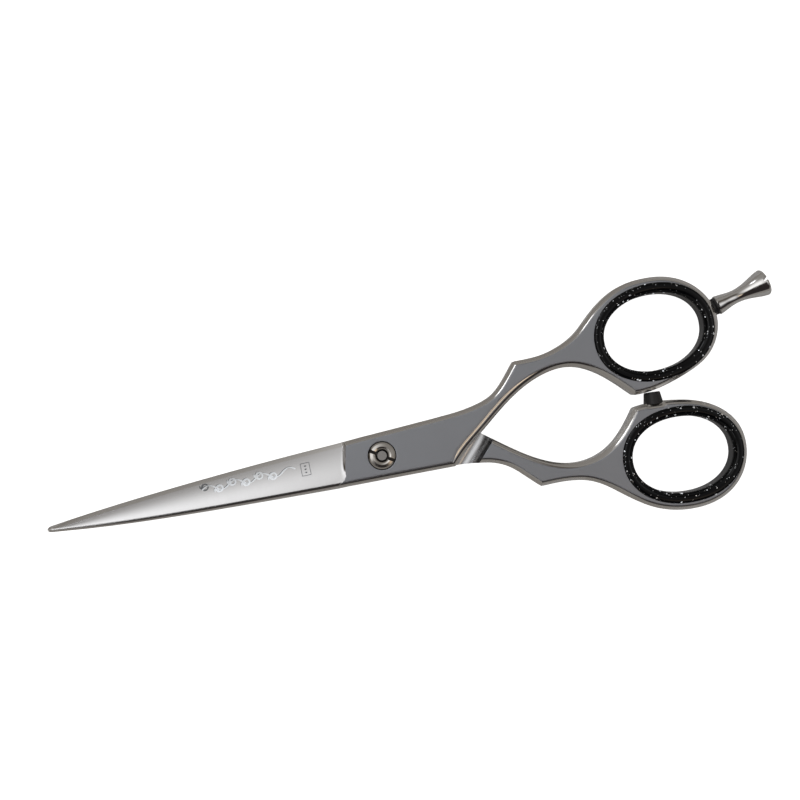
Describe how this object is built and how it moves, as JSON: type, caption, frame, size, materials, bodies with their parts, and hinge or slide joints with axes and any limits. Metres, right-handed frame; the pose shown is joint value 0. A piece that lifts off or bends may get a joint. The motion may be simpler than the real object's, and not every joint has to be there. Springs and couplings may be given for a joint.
{
  "type": "hair cutting shears",
  "caption": "Closed hairdressing shears: two forged steel levers crossed on a keyed pivot bolt with a slotted tension nut, black ring grommets, rubber stop and screw-in finger rest.",
  "frame": {"origin": "where the pivot axis meets the surface that the closed shears lie on, at the middle of the pivot bolt's flat head", "axes": "+Z along the pivot axis, up out of the tension nut; +X from the pivot towards the finger rings, so the tips point along -X; +Y towards the finger ring"},
  "size_m": [0.179, 0.0555, 0.0065],
  "materials": {
    "satin_steel": "satin",
    "polished_steel": "polished",
    "spring_steel": "satin",
    "nylon": "matte",
    "black_grommet": "gloss with glitter flakes",
    "black_rubber": "matte"
  },
  "bodies": {
    "finger_side": {"finger_lever": "satin_steel", "finger_grommet": "black_grommet", "wave_washer": "spring_steel"},
    "thumb_side": {"thumb_lever": "satin_steel", "pivot_bolt": "polished_steel", "thumb_grommet": "black_grommet", "rubber_stop": "black_rubber", "glide_washer": "nylon"},
    "nut_washer": {"thrust_washer": "spring_steel"},
    "nut": {"tension_nut": "polished_steel"},
    "rest_collar": {"rest_collar": "black_rubber"},
    "rest": {"finger_rest": "polished_steel"}
  },
  "joints": [
    {"name": "blade_pivot", "type": "hinge", "parent": "finger_side", "child": "thumb_side", "pos_m": [0, 0, 0.00325], "axis": [0, 0, -1], "range_deg": [0, 140]},
    {"name": "tension_lift", "type": "slide", "parent": "thumb_side", "child": "nut_washer", "axis": [0, 0, 1], "range_m": [0, 0.000175]},
    {"name": "tension_turn", "type": "hinge", "parent": "nut_washer", "child": "nut", "pos_m": [0, 0, 0.0055], "axis": [0, 0, 1], "range_deg": [0, 180]},
    {"name": "rest_lift", "type": "slide", "parent": "finger_side", "child": "rest_collar", "axis": [0.9724, 0.2334, 0], "range_m": [0, 0.00158]},
    {"name": "rest_turn", "type": "hinge", "parent": "rest_collar", "child": "rest", "pos_m": [0.08375, 0.01665, 0.00325], "axis": [0.9724, 0.2334, 0], "range_deg": [0, 1260]}
  ],
  "couplings": [
    {"joint": "tension_turn", "follows": "tension_lift", "rad_per_m": 17952},
    {"joint": "rest_turn", "follows": "rest_lift", "rad_per_m": 13963}
  ]
}
